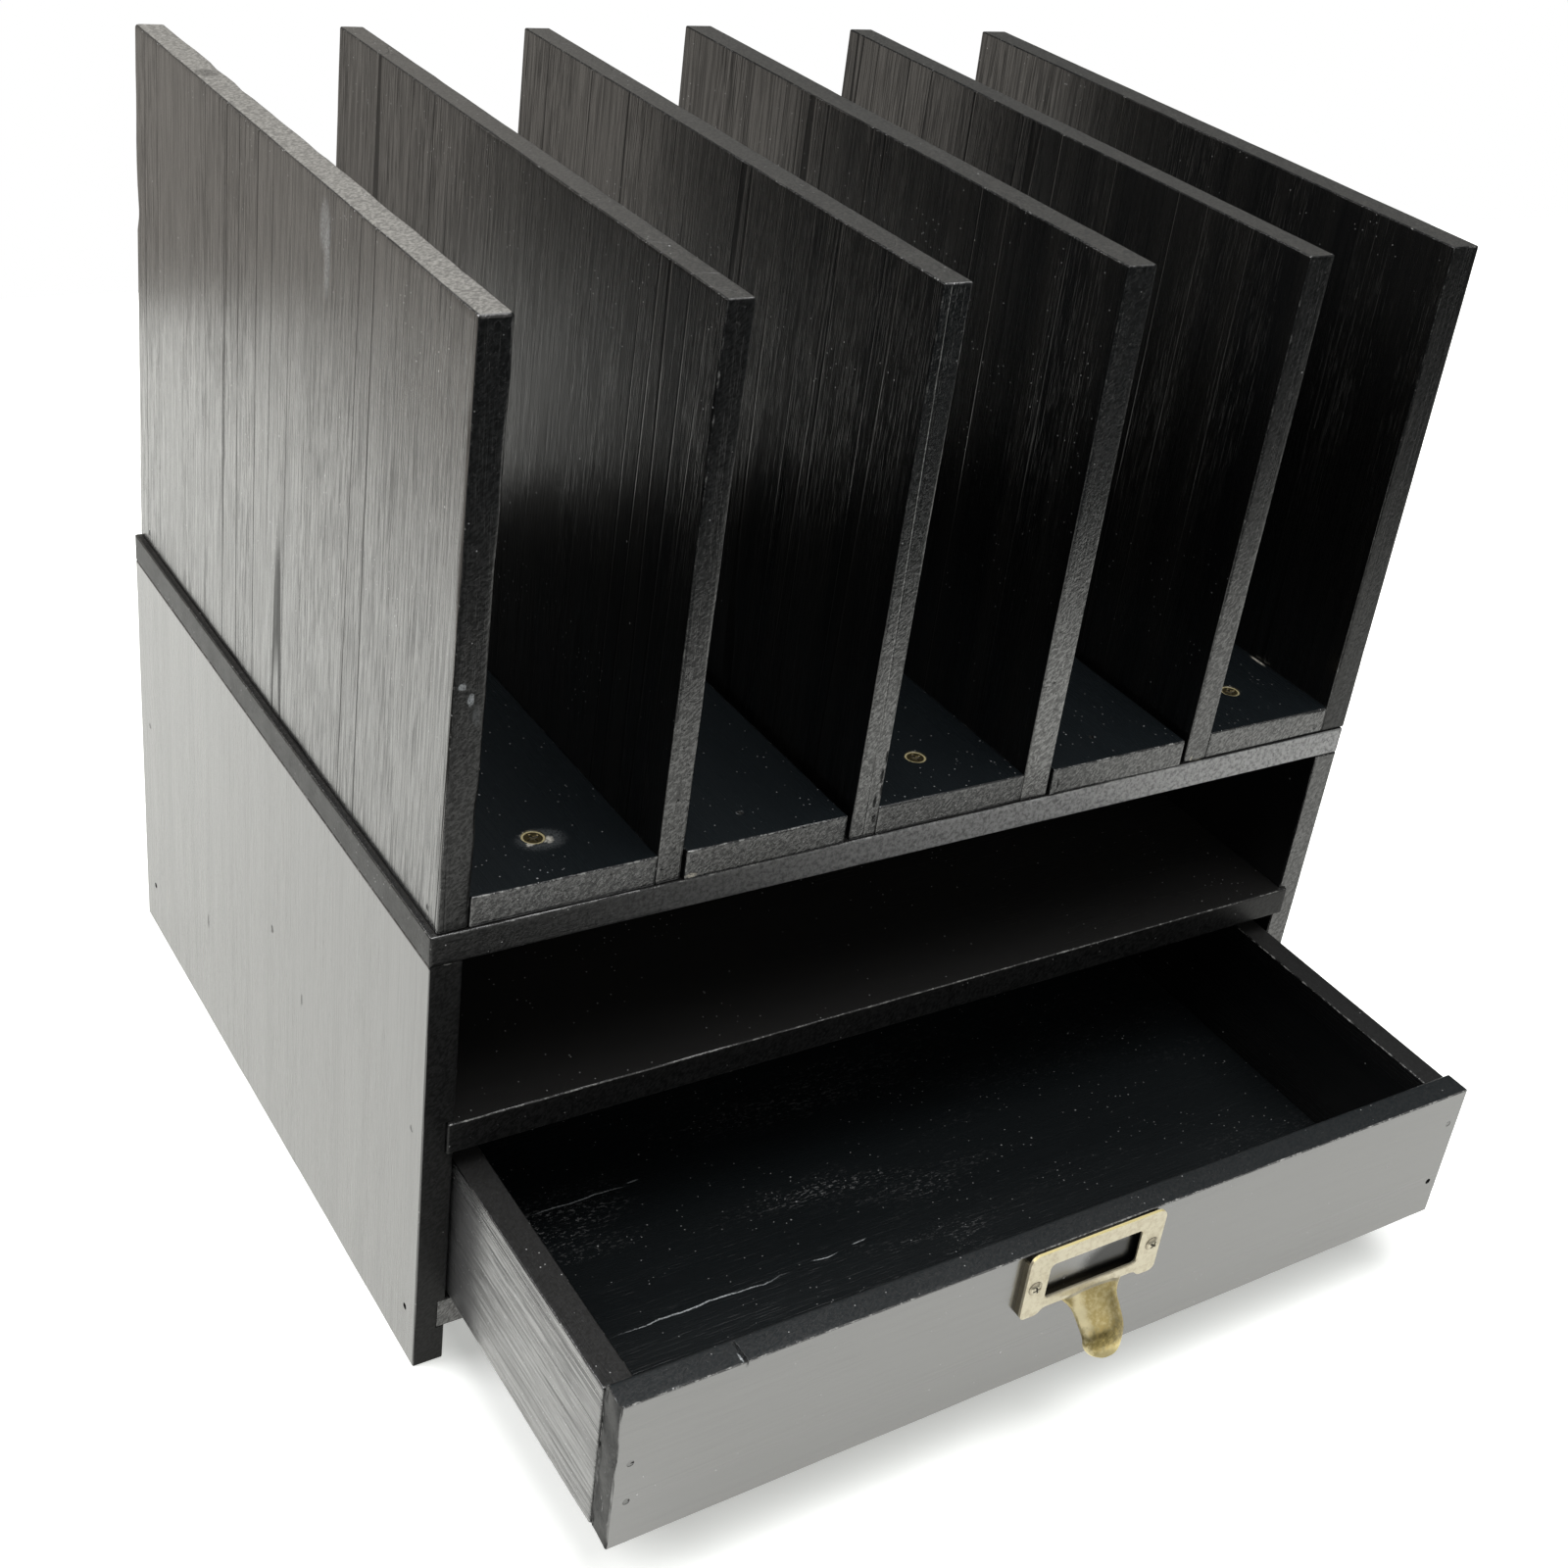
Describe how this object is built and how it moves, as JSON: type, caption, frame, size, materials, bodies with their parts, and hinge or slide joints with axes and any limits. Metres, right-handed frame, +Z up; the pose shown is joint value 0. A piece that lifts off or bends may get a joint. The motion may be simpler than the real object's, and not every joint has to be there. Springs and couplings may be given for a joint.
{
  "type": "envelope sorter with drawer",
  "caption": "Black-painted wooden desk sorter: upright envelope slots stand on a case with an open shelf above a sliding drawer with a brass label-holder pull.",
  "frame": {"origin": "on the table under the middle of the whole object, measured with the drawer open as stored", "axes": "+X to the object's right seen from the drawer side, -Y out of the front along the drawer's travel, +Z up"},
  "size_m": [0.4212, 0.4658, 0.4125],
  "materials": {
    "black_painted_wood": "satin black paint over open grain, rubbed on the edges",
    "antique_brass": "antique brass, worn bright on the edges",
    "screw_brass": "bare yellow screw heads with traces of black paint",
    "painted_nail_steel": "painted over with the boards"
  },
  "bodies": {
    "case": {"left_side": "black_painted_wood", "right_side": "black_painted_wood", "case_top": "black_painted_wood", "shelf": "black_painted_wood", "bottom_board": "black_painted_wood", "back_panel": "black_painted_wood", "divider_1": "black_painted_wood", "divider_2": "black_painted_wood", "divider_3": "black_painted_wood", "divider_4": "black_painted_wood", "divider_5": "black_painted_wood", "divider_6": "black_painted_wood", "bin_floor_1": "black_painted_wood", "bin_floor_3": "black_painted_wood", "bin_floor_5": "black_painted_wood", "filler_floor_2": "black_painted_wood", "filler_floor_4": "black_painted_wood", "shelf_nails": "painted_nail_steel", "bottom_board_nails": "painted_nail_steel", "case_top_nails": "painted_nail_steel", "back_panel_brads": "painted_nail_steel", "bin_nails": "painted_nail_steel", "rack_screws": "screw_brass", "filler_brads": "painted_nail_steel"},
    "drawer": {"drawer_front": "black_painted_wood", "drawer_left_side": "black_painted_wood", "drawer_right_side": "black_painted_wood", "drawer_back": "black_painted_wood", "drawer_floor": "black_painted_wood", "label_pull": "antique_brass", "drawer_front_nails": "painted_nail_steel", "drawer_back_nails": "painted_nail_steel", "pull_screws": "antique_brass"}
  },
  "joints": [
    {"name": "drawer_slide", "type": "slide", "parent": "case", "child": "drawer", "axis": [0, -1, 0], "range_m": [-0.128, 0.092]}
  ]
}
